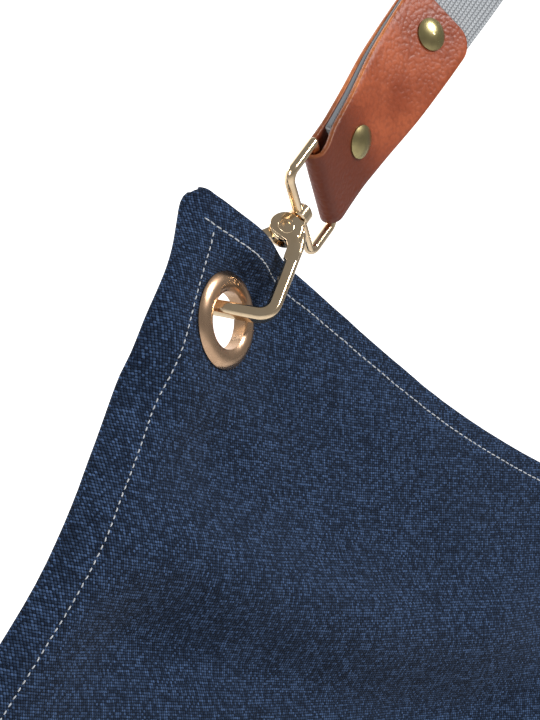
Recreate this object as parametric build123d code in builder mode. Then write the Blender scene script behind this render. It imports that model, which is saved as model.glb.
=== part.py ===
"""A bib apron hung by its neck strap, which clips to the bib's two eyelets with swivel snap hooks.

Millimetres, +Z up, +X to the viewer's right, the apron's front towards -Y.
The origin is the top rest of the neck strap: the underside of the webbing where it lies over a peg.
Everything on the left (-X) has a mirror twin on the right.
"""

import math
import os

from build123d import *

os.makedirs("parts", exist_ok=True)

# --- Neck strap: webbing over a peg, with two straight legs that lean out and twist ---
PEG_R = 12.0
WEBBING_WIDTH = 25.0
WEBBING_T = 1.8
LEG_LENGTH = 167.7
LEG_UP = Vector(0.645, 0, 0.764).normalized()
TAB_LENGTH = 66.0
TAB_WIDTH = 25.4
TAB_END_R = 6.0
LEATHER_T = 1.5
FOLD_INNER_R = 1.9
TAB_GAP = 1.0
TAB_GRIP_FROM = 9.0
# (distance up from the fold, degrees that the strap has turned about its own line since the peg)
LEG_TWIST = [(0, 118), (9, 115), (22, 108), (38, 93), (52, 86), (66, 82), (100, 56), (134, 24), (LEG_LENGTH, 0)]

# --- Rivets through the leather tab: name, distance up from the fold ---
RIVET_PLACES = {"lower": 16.0, "upper": 57.0}
RIVET_CAP_R = 4.65
RIVET_CAP_H = 1.7
RIVET_SHANK_R = 1.6

# --- Swivel loop ---
FOLD_BAR_DIR = Vector(0.62, 0.475, -0.625).normalized()
LOOP_WIRE_R = 1.4
LOOP_HALF_WIDTH = 15.0
LOOP_DROP = 13.0
LOOP_CORNER_R = 3.0
BOSS_R = 2.9
BOSS_TOP = 2.4
BOSS_BOTTOM = -1.4

# --- Snap hook, in its own plane: (across towards the spine, up the swivel axis) from the boss ---
HOOK_AXIS = Vector(0.6851, 0.0608, 0.7259).normalized()
HOOK_FACE = Vector(-0.410, -0.791, 0.453).normalized()
HOOK_T = 3.4
HOOK_BAR = 3.1
HOOK_LINE = [(2.6, -4.5), (4.4, -8.5), (9.4, -31.0), (-9.0, -39.0), (-9.8, -33.4)]
HOOK_LINE_R = [3.0, 4.6, 2.8]
HEAD_T = 4.4
HEAD_R = 4.2
HEAD_TOP = -1.9
NECK_BOTTOM = -3.6
NECK_HALF = 3.0
SLOT_T = 2.3
PIVOT = (-0.8, -6.2)
POST_R = 1.25
POST_CLEARANCE = 0.05
POST_HEAD_R = 2.2
POST_HEAD_H = 1.1
RIVET_R = 1.1
RIVET_CLEARANCE = 0.05
RIVET_HEAD_R = 2.3
RIVET_HEAD_H = 0.5
DIMPLE_R = 1.2
GATE_EAR_T = 2.1
GATE_ARM_T = 2.0
GATE_ROOT_R = 2.4
GATE_KNEE = (-5.6, -12.0)
GATE_TIP = (-7.0, -33.2)
GATE_ARM_R = 0.9
SPRING_WIRE_R = 0.2
SPRING_COIL_R = 1.65
SPRING_ROOM_R = 2.1
SPRING_ROOM_T = 1.0

# --- Eyelets ---
BORE_R = 7.5
BARREL_R = 8.2
FLANGE_R = 12.7
FLANGE_H = 1.7
ROLL_R = 10.0
ROLL_T = 0.6
WASHER_T = 0.8
WASHER_R = 11.4
CLAMP_GAP = 0.15
CLOTH_T = 0.8

# --- Cloth ---
PEG_CENTRE = Vector(0, 0, -PEG_R)
WEBBING_R = PEG_R + WEBBING_T / 2
LEG_TOP = PEG_CENTRE + Vector(-LEG_UP.Z, 0, LEG_UP.X) * WEBBING_R
FOLD_POINT = LEG_TOP - LEG_UP * LEG_LENGTH
NECK_EYELET = FOLD_POINT + Vector(-34.75, -2.7, -37.6)
BOSS_POINT = FOLD_POINT - HOOK_AXIS * LOOP_DROP
NECK_EYELET_TURN = 21.0
CORNER_Z = NECK_EYELET.Z + 32.5
CORNER_X = 164.7
WAIST_X = 335.0
WAIST_DEPTH = 265.0
ARMHOLE_POWER = 1.33
WAIST_BLEND = 5.0
NECKLINE_DEPTH = 85.0
NECKLINE_POWER = 1.25
APRON_LENGTH = 820.0
WAIST_EYELET = Vector(-311.0, -3.0, CORNER_Z - 292.0)
HEM_T = 1.0
SIDE_HEM = 8.0
NECK_HEM = 6.0
BOTTOM_HEM = 20.0
RIDGE_DEPTH = 7.5
RIDGE_INSET = 10.0
RIDGE_WIDTH = 21.0
DENT = Vector(-143.0, 0, -152.0)
DENT_DEPTH = 6.0
DENT_R = 11.0
FOLD_PITCH = 190.0
PLUMB_SHIFT = 8.0
POCKET_HALF_WIDTH = 150.0
POCKET_TOP = 360.0
POCKET_BOTTOM = 545.0
POCKET_BELLY = 9.0
POCKET_T = 0.8
SEAM_GAP = 0.2

# --- Sampling of the cloth's curved sheets ---
COLUMNS = 48
ROWS = 44


def save_pair(left, name):
    """Writes a left-hand piece and its mirror twin."""
    left.part.label = f"{name}_left"
    export_step(left.part, f"parts/{name}_left.step")
    with BuildPart() as twin:
        mirror(left.part, about=Plane.YZ)
    twin.part.label = f"{name}_right"
    export_step(twin.part, f"parts/{name}_right.step")


# ---------------------------------------------------------------- neck strap


def leg_turn(distance):
    """How far the strap has turned about its own line, in degrees, at a distance up from the fold."""
    for (d0, a0), (d1, a1) in zip(LEG_TWIST, LEG_TWIST[1:]):
        if distance <= d1:
            return a0 + (a1 - a0) * (distance - d0) / (d1 - d0)
    return LEG_TWIST[-1][1]


def leg_plane(distance):
    """The strap's cross-section: x across its width, y out of its front face, z up the leg."""
    turn = math.radians(leg_turn(distance))
    face = Vector(-LEG_UP.Z, 0, LEG_UP.X) * math.cos(turn) + Vector(0, -1, 0) * math.sin(turn)
    if distance == 0:
        across = -FOLD_BAR_DIR
        up = (LEG_UP - across * LEG_UP.dot(across)).normalized()
        return Plane(origin=FOLD_POINT, x_dir=across, z_dir=up)
    return Plane(origin=FOLD_POINT + LEG_UP * distance, x_dir=face.cross(LEG_UP), z_dir=LEG_UP)


def face_plane(distance, lift):
    """A plane on the strap's front face (lift up from its middle): z out of the face, y up the leg."""
    section = leg_plane(distance)
    return Plane(origin=section.origin + section.y_dir * lift, x_dir=-section.x_dir, z_dir=section.y_dir)


def strap_sections(distances, width, thickness, lift):
    """The leg's cross-sections for a twisted band, its middle lifted off the leg's line by lift(d)."""
    sections = []
    for distance in distances:
        with BuildSketch(leg_plane(distance)) as section:
            with Locations((0, lift(distance))):
                Rectangle(width, thickness)
        sections.append(section.sketch)
    return sections


def steps(start, end, pitch):
    count = max(1, round((end - start) / pitch))
    return [start + (end - start) * i / count for i in range(count + 1)]


def layer_lift(distance):
    """How far a leather layer's middle stands off the leg's line: wide at the fold, then gripped."""
    inner = FOLD_INNER_R + (TAB_GAP - FOLD_INNER_R) * min(1, distance / TAB_GRIP_FROM)
    return inner + LEATHER_T / 2


def rivet_holes():
    """Bores both rivets' holes through the part under construction."""
    for distance in RIVET_PLACES.values():
        with BuildSketch(face_plane(distance, 0)) as hole:
            Circle(RIVET_SHANK_R)
        extrude(hole.sketch, amount=12, both=True, mode=Mode.SUBTRACT)


TAB_STEPS = [0, 4, TAB_GRIP_FROM, 14, 22, 30, 38, 45, 52, 59, TAB_LENGTH]

with BuildPart() as front_layer:
    loft(strap_sections(TAB_STEPS, TAB_WIDTH, LEATHER_T, layer_lift), ruled=True)
with BuildPart() as back_layer:
    loft(strap_sections(TAB_STEPS, TAB_WIDTH, LEATHER_T, lambda d: -layer_lift(d)), ruled=True)
with BuildPart() as tab:
    add(front_layer.part)
    add(back_layer.part)
    fold = leg_plane(0)
    with BuildSketch(Plane(origin=FOLD_POINT, x_dir=fold.y_dir, z_dir=fold.x_dir)):
        Circle(FOLD_INNER_R + LEATHER_T)
        Circle(FOLD_INNER_R, mode=Mode.SUBTRACT)
        with Locations((0, TAB_WIDTH / 2)):
            Rectangle(TAB_WIDTH, TAB_WIDTH, mode=Mode.SUBTRACT)
    extrude(amount=TAB_WIDTH / 2, both=True)
    with BuildSketch(face_plane(TAB_LENGTH - TAB_END_R, 0)):
        with Locations((0, -TAB_LENGTH / 2)):
            Rectangle(4 * TAB_WIDTH, TAB_LENGTH + 30)
        RectangleRounded(TAB_WIDTH, 2 * TAB_END_R, TAB_END_R * 0.98)
    extrude(amount=40, both=True, mode=Mode.INTERSECT)
    rivet_holes()
save_pair(tab, "leather_tab")

with BuildPart() as left_leg:
    leg_steps = TAB_STEPS[2:] + steps(TAB_LENGTH, LEG_LENGTH, 9)[1:]
    loft(strap_sections(leg_steps, WEBBING_WIDTH, WEBBING_T, lambda d: 0), ruled=True)
    rivet_holes()
with BuildPart() as neck_webbing:
    add(left_leg.part)
    mirror(left_leg.part, about=Plane.YZ)
    arc_end = math.degrees(math.atan2(LEG_UP.X, LEG_UP.Z))
    with BuildSketch(Plane(origin=(0, WEBBING_WIDTH / 2, -PEG_R), x_dir=(1, 0, 0), z_dir=(0, -1, 0))):
        with BuildLine():
            inner = CenterArc((0, 0), PEG_R, arc_end, 180 - 2 * arc_end)
            outer = CenterArc((0, 0), PEG_R + WEBBING_T, arc_end, 180 - 2 * arc_end)
            Line(inner @ 0, outer @ 0)
            Line(inner @ 1, outer @ 1)
        make_face()
    extrude(amount=WEBBING_WIDTH)
neck_webbing.part.label = "neck_webbing"
export_step(neck_webbing.part, "parts/neck_webbing.step")

# ---------------------------------------------------------------- rivets in the leather tab


def dome_profile(radius, height):
    """Half the section of a domed cap that stands on y = 0: a short rim under part of a sphere."""
    rise = 0.75 * height
    sphere_r = (radius**2 + rise**2) / (2 * rise)
    middle = math.asin(radius / sphere_r) / 2
    half_way = (sphere_r * math.sin(middle), height - sphere_r + sphere_r * math.cos(middle))
    with BuildSketch() as half:
        with BuildLine():
            Line((0, 0), (radius, 0))
            Line((radius, 0), (radius, height - rise))
            ThreePointArc((radius, height - rise), half_way, (0, height))
            Line((0, height), (0, 0))
        make_face()
    return half.sketch


def turned(plane, profile):
    """Revolves a profile, drawn as (radius, height), about the plane's normal."""
    return plane.location * revolve(Plane.XZ * profile, axis=Axis.Z, mode=Mode.PRIVATE)


TAB_FACE = TAB_GAP + LEATHER_T
rivet_dome = dome_profile(RIVET_CAP_R, RIVET_CAP_H)
for rivet_name, rivet_distance in RIVET_PLACES.items():
    front = face_plane(rivet_distance, TAB_FACE + 0.02)
    back = face_plane(rivet_distance, -TAB_FACE - 0.02)
    front_dome = turned(front, rivet_dome)
    back_dome = turned(Plane(back.origin, back.x_dir, -back.z_dir), rivet_dome)
    with BuildPart() as rivet_cap:
        add(front_dome)
    save_pair(rivet_cap, f"rivet_cap_{rivet_name}")
    with BuildPart() as rivet_stud:
        add(back_dome)
        with BuildSketch(back):
            Circle(RIVET_SHANK_R)
        extrude(amount=2 * TAB_FACE + 0.04)
    save_pair(rivet_stud, f"rivet_stud_{rivet_name}")

# ---------------------------------------------------------------- swivel loop

POST_PLANE = Plane(origin=BOSS_POINT, x_dir=FOLD_BAR_DIR, z_dir=HOOK_AXIS)
LOOP_PLANE = Plane(
    origin=FOLD_POINT,
    x_dir=FOLD_BAR_DIR,
    z_dir=FOLD_BAR_DIR.cross(HOOK_AXIS),
)
with BuildPart() as boss:
    with BuildSketch(POST_PLANE.offset(BOSS_BOTTOM)):
        Circle(BOSS_R)
    extrude(amount=BOSS_TOP - BOSS_BOTTOM)
    chamfer(boss.edges().filter_by(GeomType.CIRCLE), 0.4)
with BuildPart() as loop:
    with BuildLine(LOOP_PLANE) as loop_line:
        corners = [
            (0, 0),
            (LOOP_HALF_WIDTH, 0),
            (LOOP_HALF_WIDTH, -LOOP_DROP),
            (-LOOP_HALF_WIDTH, -LOOP_DROP),
            (-LOOP_HALF_WIDTH, 0),
        ]
        FilletPolyline(*corners, radius=LOOP_CORNER_R, close=False)
        Line((-LOOP_HALF_WIDTH, 0), (0, 0))
    with BuildSketch(Plane(FOLD_POINT, x_dir=HOOK_AXIS, z_dir=FOLD_BAR_DIR)):
        Circle(LOOP_WIRE_R)
    sweep(path=loop_line.wires()[0], transition=Transition.ROUND)
    add(boss.part)
    with BuildSketch(POST_PLANE):
        Circle(POST_R + POST_CLEARANCE)
    extrude(amount=10, both=True, mode=Mode.SUBTRACT)
save_pair(loop, "swivel_loop")

post_dome = turned(POST_PLANE.offset(BOSS_TOP + 0.1), dome_profile(POST_HEAD_R, POST_HEAD_H))
with BuildPart() as post:
    with BuildSketch(POST_PLANE.offset(NECK_BOTTOM + 0.1)):
        Circle(POST_R)
    extrude(amount=BOSS_TOP - NECK_BOTTOM)
    add(post_dome)
save_pair(post, "swivel_post")

# ---------------------------------------------------------------- snap hook

HOOK_PLANE = Plane(origin=BOSS_POINT, x_dir=HOOK_AXIS.cross(HOOK_FACE), z_dir=HOOK_FACE)
PIVOT_PLANE = Plane(HOOK_PLANE.from_local_coords((*PIVOT, 0)), HOOK_PLANE.x_dir, HOOK_FACE)


def rims(part, thickness):
    """The edges around the front and back faces of a flat piece of the hook."""
    return part.edges().filter_by(
        lambda edge: abs((edge @ 0.5 - BOSS_POINT).dot(HOOK_FACE)) > thickness / 2 - 0.01
    )


with BuildPart() as bow:
    with BuildSketch(HOOK_PLANE):
        with BuildLine():
            FilletPolyline(*HOOK_LINE, radius=HOOK_LINE_R)
        trace(line_width=HOOK_BAR)
    extrude(amount=HOOK_T / 2, both=True)
    fillet(rims(bow, HOOK_T), 0.6)
with BuildPart() as head:
    with BuildSketch(HOOK_PLANE):
        with Locations(PIVOT):
            Circle(HEAD_R)
        with Locations((0, (HEAD_TOP + PIVOT[1]) / 2)):
            Rectangle(2 * NECK_HALF, HEAD_TOP - PIVOT[1])
    extrude(amount=HEAD_T / 2, both=True)
    fillet(rims(head, HEAD_T), 0.4)
with BuildPart() as hook:
    add(bow.part)
    add(head.part)
    with BuildSketch(HOOK_PLANE):
        with BuildLine():
            Polyline(
                (-8, NECK_BOTTOM),
                (NECK_HALF - 1.2, NECK_BOTTOM),
                (NECK_HALF - 1.2, PIVOT[1] - 1),
                (NECK_HALF - 2.0, PIVOT[1] - HEAD_R - 0.5),
                (-8, PIVOT[1] - HEAD_R - 0.5),
                close=True,
            )
        make_face()
    extrude(amount=SLOT_T / 2, both=True, mode=Mode.SUBTRACT)
    with BuildSketch(PIVOT_PLANE):
        Circle(RIVET_R)
    extrude(amount=HEAD_T, both=True, mode=Mode.SUBTRACT)
    with BuildSketch(POST_PLANE.offset(NECK_BOTTOM - 0.5)):
        Circle(POST_R)
    extrude(amount=4, mode=Mode.SUBTRACT)
save_pair(hook, "hook_body")

with BuildPart() as gate_rivet:
    with BuildSketch(PIVOT_PLANE):
        Circle(RIVET_R)
    extrude(amount=HEAD_T / 2 + 0.1, both=True)
    for side in (1, -1):
        with BuildSketch(PIVOT_PLANE.offset(side * (HEAD_T / 2 + RIVET_HEAD_H / 2))):
            Circle(RIVET_HEAD_R)
        extrude(amount=RIVET_HEAD_H / 2, both=True)
    outer_rims = gate_rivet.edges().filter_by(
        lambda edge: abs((edge @ 0 - BOSS_POINT).dot(HOOK_FACE)) > HEAD_T / 2 + RIVET_HEAD_H - 0.01
    )
    fillet(outer_rims, RIVET_HEAD_H * 0.7)
    with BuildSketch(PIVOT_PLANE.offset(HEAD_T / 2 + RIVET_HEAD_H)):
        Circle(DIMPLE_R)
    extrude(amount=-0.3, mode=Mode.SUBTRACT)
save_pair(gate_rivet, "gate_rivet")

with BuildPart() as gate:
    with BuildSketch(HOOK_PLANE) as ears:
        with Locations(PIVOT):
            Circle(GATE_ROOT_R)
        with Locations(GATE_KNEE):
            Circle(GATE_ARM_R)
        make_hull()
    extrude(amount=GATE_EAR_T / 2, both=True)
    with BuildSketch(HOOK_PLANE) as arm:
        with Locations(GATE_KNEE, GATE_TIP):
            Circle(GATE_ARM_R)
        make_hull()
    extrude(amount=GATE_ARM_T / 2, both=True)
    with BuildSketch(PIVOT_PLANE):
        Circle(SPRING_ROOM_R)
    extrude(amount=SPRING_ROOM_T / 2, both=True, mode=Mode.SUBTRACT)
    with BuildSketch(PIVOT_PLANE):
        Circle(RIVET_R + RIVET_CLEARANCE)
    extrude(amount=HEAD_T, both=True, mode=Mode.SUBTRACT)
save_pair(gate, "hook_gate")

with BuildPart() as spring:
    for lift in (-0.18, 0.18):
        with BuildSketch(Plane(PIVOT_PLANE.origin, PIVOT_PLANE.x_dir, PIVOT_PLANE.y_dir)):
            with Locations((SPRING_COIL_R, lift)):
                Circle(SPRING_WIRE_R)
        revolve(axis=Axis(PIVOT_PLANE.origin, HOOK_FACE))
save_pair(spring, "gate_spring")

# ---------------------------------------------------------------- eyelets

TURN = math.radians(NECK_EYELET_TURN)
NECK_EYELET_FACE = Vector(math.sin(TURN), -math.cos(TURN), 0)
EYELETS = {
    "neck": Plane(NECK_EYELET, x_dir=Vector(math.cos(TURN), math.sin(TURN), 0), z_dir=NECK_EYELET_FACE),
    "waist": Plane(WAIST_EYELET, x_dir=(1, 0, 0), z_dir=(0, -1, 0)),
}
FRONT_OF_CLOTH = CLOTH_T / 2 + CLAMP_GAP
BACK_OF_WASHER = -FRONT_OF_CLOTH - WASHER_T

with BuildSketch() as barrel_profile:
    with BuildLine():
        Line((BORE_R, BACK_OF_WASHER - ROLL_T), (BORE_R, FRONT_OF_CLOTH + 0.6 * FLANGE_H))
        ThreePointArc(
            (BORE_R, FRONT_OF_CLOTH + 0.6 * FLANGE_H),
            (BORE_R + 1.6, FRONT_OF_CLOTH + FLANGE_H),
            (FLANGE_R, FRONT_OF_CLOTH + 0.25),
        )
        Polyline(
            (FLANGE_R, FRONT_OF_CLOTH + 0.25),
            (FLANGE_R, FRONT_OF_CLOTH),
            (BARREL_R, FRONT_OF_CLOTH),
            (BARREL_R, BACK_OF_WASHER),
            (ROLL_R, BACK_OF_WASHER),
            (ROLL_R - 0.4, BACK_OF_WASHER - ROLL_T),
            (BORE_R, BACK_OF_WASHER - ROLL_T),
        )
    make_face()
with BuildSketch() as washer_profile:
    with BuildLine():
        Polyline(
            (BARREL_R + 0.05, -FRONT_OF_CLOTH),
            (BARREL_R + 0.05, BACK_OF_WASHER),
            (WASHER_R - 0.5, BACK_OF_WASHER),
            (WASHER_R, -FRONT_OF_CLOTH - 0.3),
            (WASHER_R, -FRONT_OF_CLOTH),
            close=True,
        )
    make_face()
for eyelet_name, eyelet_plane in EYELETS.items():
    with BuildPart() as eyelet:
        add(turned(eyelet_plane, barrel_profile.sketch))
    save_pair(eyelet, f"{eyelet_name}_eyelet")
    with BuildPart() as washer:
        add(turned(eyelet_plane, washer_profile.sketch))
    save_pair(washer, f"{eyelet_name}_eyelet_washer")

# ---------------------------------------------------------------- cloth


def smooth(low, high, value):
    """0 below low, 1 above high, with an S-curve between."""
    share = min(1.0, max(0.0, (value - low) / (high - low)))
    return share * share * (3 - 2 * share)


def side_x(depth):
    """Half the apron's width at a depth below its strap corners: the armhole curve, then straight."""
    armhole = CORNER_X + (WAIST_X - CORNER_X) * (depth / WAIST_DEPTH) ** ARMHOLE_POWER
    over = min((armhole - WAIST_X) / WAIST_BLEND, 40)
    return min(armhole, WAIST_X + 40 * WAIST_BLEND) - WAIST_BLEND * math.log(1 + math.exp(over))


def neckline(x):
    """How far the neckline lies below the strap corners at a distance from the middle."""
    return NECKLINE_DEPTH * (1 - min(1, abs(x) / CORNER_X) ** NECKLINE_POWER)


def loose_drape(x, depth):
    """Where the cloth hangs, front to back: a ridge beside each side hem, a swag, and soft folds."""
    x = abs(x)
    inset = side_x(depth) - x
    below_neck = depth - neckline(x)
    ridge = RIDGE_DEPTH * math.exp(-(((inset - RIDGE_INSET) / RIDGE_WIDTH) ** 2))
    swag = 4.5 * math.exp(-(((below_neck - 92) / 24) ** 2)) * (1 - smooth(60, 130, inset - 40))
    fold = (1.5 + 9.5 * smooth(150, APRON_LENGTH, depth)) * math.cos(2 * math.pi * x / FOLD_PITCH)
    plumb = PLUMB_SHIFT * smooth(180, 520, depth)
    return 3.0 - ridge - swag - fold - plumb


def drape(x, z):
    """The cloth's middle, front to back: loose, flat where an eyelet clamps it, pushed out by the gate."""
    y = loose_drape(x, CORNER_Z - z)
    for plane in EYELETS.values():
        across = -abs(x) - plane.origin.X
        up = z - plane.origin.Z
        flat = plane.origin.Y - across * plane.z_dir.X / plane.z_dir.Y
        hold = 1 - smooth(13.5, 34.0, math.hypot(across, up))
        y += (flat - y) * hold
    from_dent = math.hypot(-abs(x) - DENT.X, z - DENT.Z)
    from_eyelet = math.hypot(-abs(x) - NECK_EYELET.X, z - NECK_EYELET.Z)
    return y - DENT_DEPTH * math.exp(-((from_dent / DENT_R) ** 2)) * smooth(13.0, 19.0, from_eyelet)


def cloth_point(column, row, lift=0.0):
    """A point of the apron's sheet: column from -1 at the left edge to 1, row from 0 at the neck to 1."""
    depth = APRON_LENGTH * row
    x = column * side_x(depth)
    z = CORNER_Z - depth - neckline(column * CORNER_X) * (1 - row) ** 3
    return (x, drape(x, z) + lift, z)


def mirrored(plane):
    """The right-hand twin of a left-hand plane."""
    flip = lambda v: Vector(-v.X, v.Y, v.Z)
    return Plane(flip(plane.origin), x_dir=flip(plane.x_dir), z_dir=flip(plane.z_dir))


def spread(low, high, count):
    return [low + (high - low) * i / count for i in range(count + 1)]


def cloth_piece(columns, rows, thickness, lift=0.0):
    """A curved sheet through the cloth's points, thickened straight back and front."""
    points = [[cloth_point(c, r, lift - thickness / 2) for c in columns] for r in rows]
    sheet = Face.make_surface_from_array_of_points(points, tol=0.05)
    return extrude(sheet, amount=thickness, dir=(0, 1, 0), mode=Mode.PRIVATE)


column_steps = [math.sin(math.pi / 2 * c) for c in spread(-1, 1, COLUMNS)]
row_steps = [share**1.4 for share in spread(0, 1, ROWS)]
with BuildPart() as apron:
    add(cloth_piece(column_steps, row_steps, CLOTH_T))
    for eyelet_plane in EYELETS.values():
        with BuildSketch(eyelet_plane, mirrored(eyelet_plane)):
            Circle(BARREL_R + 0.05)
        extrude(amount=10, both=True, mode=Mode.SUBTRACT)
apron.part.label = "apron_panel"
export_step(apron.part, "parts/apron_panel.step")

BEHIND = CLOTH_T / 2 + SEAM_GAP + HEM_T / 2


def hem_piece(points):
    """A folded hem: two more layers of the cloth, behind its edge."""
    sheet = Face.make_surface_from_array_of_points(points, tol=0.05)
    return extrude(sheet, amount=HEM_T, dir=(0, 1, 0), mode=Mode.PRIVATE)


def side_hem_point(inset, row):
    return cloth_point(-1 + inset / side_x(APRON_LENGTH * row), row, BEHIND - HEM_T / 2)


def neck_hem_point(column, drop):
    row = drop / (APRON_LENGTH - 3 * neckline(column * CORNER_X))
    return cloth_point(column, row, BEHIND - HEM_T / 2)


with BuildPart() as side_hem:
    add(hem_piece([[side_hem_point(i, r) for i in (0, SIDE_HEM / 2, SIDE_HEM)] for r in row_steps]))
save_pair(side_hem, "side_hem")

neck_end = 1 - (SIDE_HEM + 0.5) / CORNER_X
with BuildPart() as neck_hem:
    neck_columns = spread(-neck_end, neck_end, COLUMNS)
    add(hem_piece([[neck_hem_point(c, drop) for c in neck_columns] for drop in (0, NECK_HEM / 2, NECK_HEM)]))
neck_hem.part.label = "neckline_hem"
export_step(neck_hem.part, "parts/neckline_hem.step")

bottom_end = 1 - (SIDE_HEM + 0.5) / WAIST_X
with BuildPart() as bottom_hem:
    bottom_columns = spread(-bottom_end, bottom_end, COLUMNS)
    bottom_rows = spread(1 - BOTTOM_HEM / APRON_LENGTH, 1, 2)
    hem_rows = [[cloth_point(c, r, BEHIND - HEM_T / 2) for c in bottom_columns] for r in bottom_rows]
    add(hem_piece(hem_rows))
bottom_hem.part.label = "bottom_hem"
export_step(bottom_hem.part, "parts/bottom_hem.step")


def pocket_belly(x, share):
    """How far the patch pocket stands off the apron: two compartments, open and fullest at the top."""
    return POCKET_BELLY * math.sin(math.pi * abs(x) / POCKET_HALF_WIDTH) ** 2 * math.cos(math.pi / 2 * share)


def pocket_point(x, share):
    z = CORNER_Z - POCKET_TOP - (POCKET_BOTTOM - POCKET_TOP) * share
    return (x, drape(x, z) - CLOTH_T / 2 - SEAM_GAP - POCKET_T - pocket_belly(x, share), z)


with BuildPart() as pocket:
    pocket_columns = spread(-POCKET_HALF_WIDTH, POCKET_HALF_WIDTH, 32)
    pocket_rows = [[pocket_point(x, share) for x in pocket_columns] for share in spread(0, 1, 12)]
    pocket_sheet = Face.make_surface_from_array_of_points(pocket_rows, tol=0.05)
    extrude(pocket_sheet, amount=POCKET_T, dir=(0, 1, 0))
pocket.part.label = "front_pocket"
export_step(pocket.part, "parts/front_pocket.step")
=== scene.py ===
"""Looks for the bib apron that hangs by its neck strap: cloth, hems, stitching, leather, webbing, metals."""

import math
import random

import bpy
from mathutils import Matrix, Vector, noise


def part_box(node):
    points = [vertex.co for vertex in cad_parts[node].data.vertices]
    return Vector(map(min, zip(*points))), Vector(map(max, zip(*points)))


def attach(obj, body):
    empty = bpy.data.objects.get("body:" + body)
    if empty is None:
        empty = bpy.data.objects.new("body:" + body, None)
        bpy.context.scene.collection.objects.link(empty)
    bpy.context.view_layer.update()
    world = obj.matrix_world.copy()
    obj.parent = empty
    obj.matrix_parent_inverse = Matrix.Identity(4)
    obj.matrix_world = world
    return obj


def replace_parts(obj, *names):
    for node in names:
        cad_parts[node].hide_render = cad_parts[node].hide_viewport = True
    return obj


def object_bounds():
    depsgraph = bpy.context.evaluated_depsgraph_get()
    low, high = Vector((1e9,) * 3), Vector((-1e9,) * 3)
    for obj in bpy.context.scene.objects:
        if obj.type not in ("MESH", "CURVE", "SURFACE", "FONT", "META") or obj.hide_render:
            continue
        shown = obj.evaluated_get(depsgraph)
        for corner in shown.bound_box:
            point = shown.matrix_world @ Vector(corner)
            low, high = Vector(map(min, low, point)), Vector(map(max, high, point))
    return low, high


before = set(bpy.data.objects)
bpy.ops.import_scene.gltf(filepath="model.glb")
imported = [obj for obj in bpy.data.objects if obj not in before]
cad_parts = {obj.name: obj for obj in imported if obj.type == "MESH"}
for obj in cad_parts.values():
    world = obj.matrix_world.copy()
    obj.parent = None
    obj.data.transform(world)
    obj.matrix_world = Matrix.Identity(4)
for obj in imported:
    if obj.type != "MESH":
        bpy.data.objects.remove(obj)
cad_low, cad_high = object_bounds()
random.seed(7)

# All shapes below are worked out in millimetres, as the CAD is, and written to the meshes in metres.
MM = 0.001

# --- The same sizes as the CAD's ---
PEG_R = 12.0
WEBBING_WIDTH = 25.0
WEBBING_T = 1.8
LEG_LENGTH = 167.7
LEG_UP = Vector((0.645, 0, 0.764)).normalized()
TAB_LENGTH = 66.0
TAB_WIDTH = 25.4
TAB_END_R = 6.0
LEATHER_T = 1.5
FOLD_INNER_R = 1.9
TAB_GAP = 1.0
TAB_GRIP_FROM = 9.0
LEG_TWIST = [(0, 118), (9, 115), (22, 108), (38, 93), (52, 86), (66, 82), (100, 56), (134, 24), (LEG_LENGTH, 0)]
FOLD_BAR_DIR = Vector((0.62, 0.475, -0.625)).normalized()
LEG_TOP = Vector((-LEG_UP.z, 0, LEG_UP.x)) * (PEG_R + WEBBING_T / 2) + Vector((0, 0, -PEG_R))
FOLD_POINT = LEG_TOP - LEG_UP * LEG_LENGTH
NECK_EYELET = FOLD_POINT + Vector((-34.75, -2.7, -37.6))
NECK_TURN = math.radians(21.0)
CORNER_Z = NECK_EYELET.z + 32.5
CORNER_X = 164.7
WAIST_X = 335.0
WAIST_DEPTH = 265.0
ARMHOLE_POWER = 1.33
WAIST_BLEND = 5.0
NECKLINE_DEPTH = 85.0
NECKLINE_POWER = 1.25
APRON_LENGTH = 820.0
WAIST_EYELET = Vector((-311.0, -3.0, CORNER_Z - 292.0))
RIDGE_DEPTH = 7.5
RIDGE_INSET = 10.0
RIDGE_WIDTH = 21.0
DENT = Vector((-143.0, 0, -152.0))
DENT_DEPTH = 6.0
DENT_R = 11.0
FOLD_PITCH = 190.0
PLUMB_SHIFT = 8.0
POCKET_HALF_WIDTH = 150.0
POCKET_TOP = 360.0
POCKET_BOTTOM = 545.0
POCKET_BELLY = 9.0
CLOTH_T = 0.8
EYELETS = [
    (NECK_EYELET, Vector((math.sin(NECK_TURN), -math.cos(NECK_TURN), 0))),
    (WAIST_EYELET, Vector((0, -1, 0))),
]

# --- Detail that only the looks have ---
YARN_PITCH = 0.7
CORNER_R = 6.0
SWAG_TOP = -236.0
SWAG_FALL = 36.0
SWAG_RIDGE = 8.0
SWAG_VALLEY = 6.0
EDGE_CURL = 2.6
EDGE_BULGE = 2.2
CORNER_TUCK = 1.7
NECK_LIFT = 5.2
NECK_LIFT_X = 124.0
NECK_LIFT_IN = 39.0
NECK_LIFT_OUT = 55.0
SIDE_STITCH = 8.0
NECK_STITCH = 7.0
BOTTOM_STITCH = 19.0
STITCH_PITCH = 2.0
PLAIN_STITCH_PITCH = 2.4
PLAIN_STITCH_LENGTH = 1.6
END_PLACES = 7  # how many of a hem's places at each end have no stitch
# Painted shade on the leather round its fold: full up to the first distance, gone by the second
FOLD_SHADE_FULL_TO = 11.0
FOLD_SHADE_END = 24.0
EYELET_CUT_R = 9.6
# (share of the stitch's length, height over the cloth, radius)
STITCH_FORM = [(0, -0.2, 0.08), (0.15, 0.02, 0.17), (0.5, 0.08, 0.21), (0.85, 0.02, 0.17), (1, -0.2, 0.08)]


# ================================================================ materials


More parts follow.
